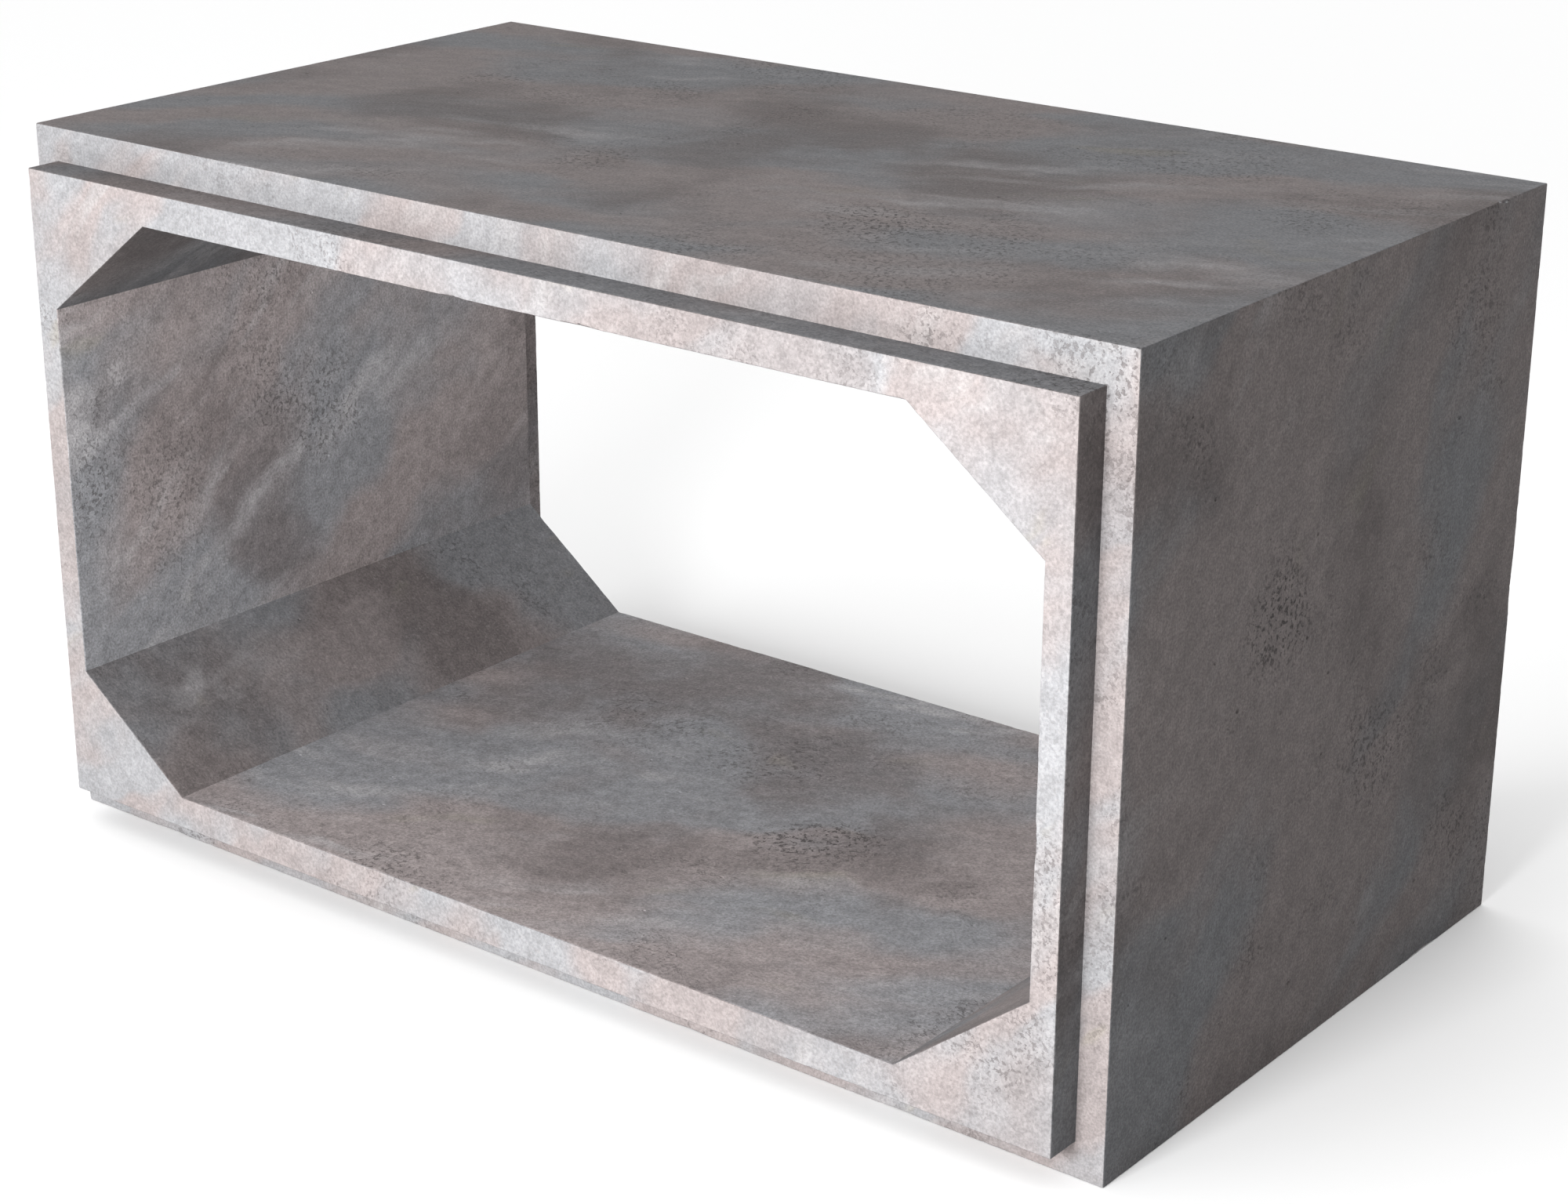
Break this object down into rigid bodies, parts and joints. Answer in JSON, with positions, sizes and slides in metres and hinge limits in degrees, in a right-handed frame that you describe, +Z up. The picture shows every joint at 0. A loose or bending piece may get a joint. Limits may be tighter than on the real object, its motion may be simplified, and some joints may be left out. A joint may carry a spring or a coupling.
{
  "type": "precast box culvert",
  "caption": "Rectangular concrete culvert unit, open at both ends, with haunched bore corners, a spigot end and a socket end.",
  "frame": {"origin": "bed level, at the centre of the unit's footprint, spigot included", "axes": "+Z up; +X across the waterway; +Y along the waterway, from the spigot end to the socket end"},
  "size_m": [2.63, 1.5, 1.5],
  "materials": {
    "concrete": "matt cast concrete"
  },
  "bodies": {
    "root": {"culvert_unit": "concrete"}
  },
  "joints": []
}
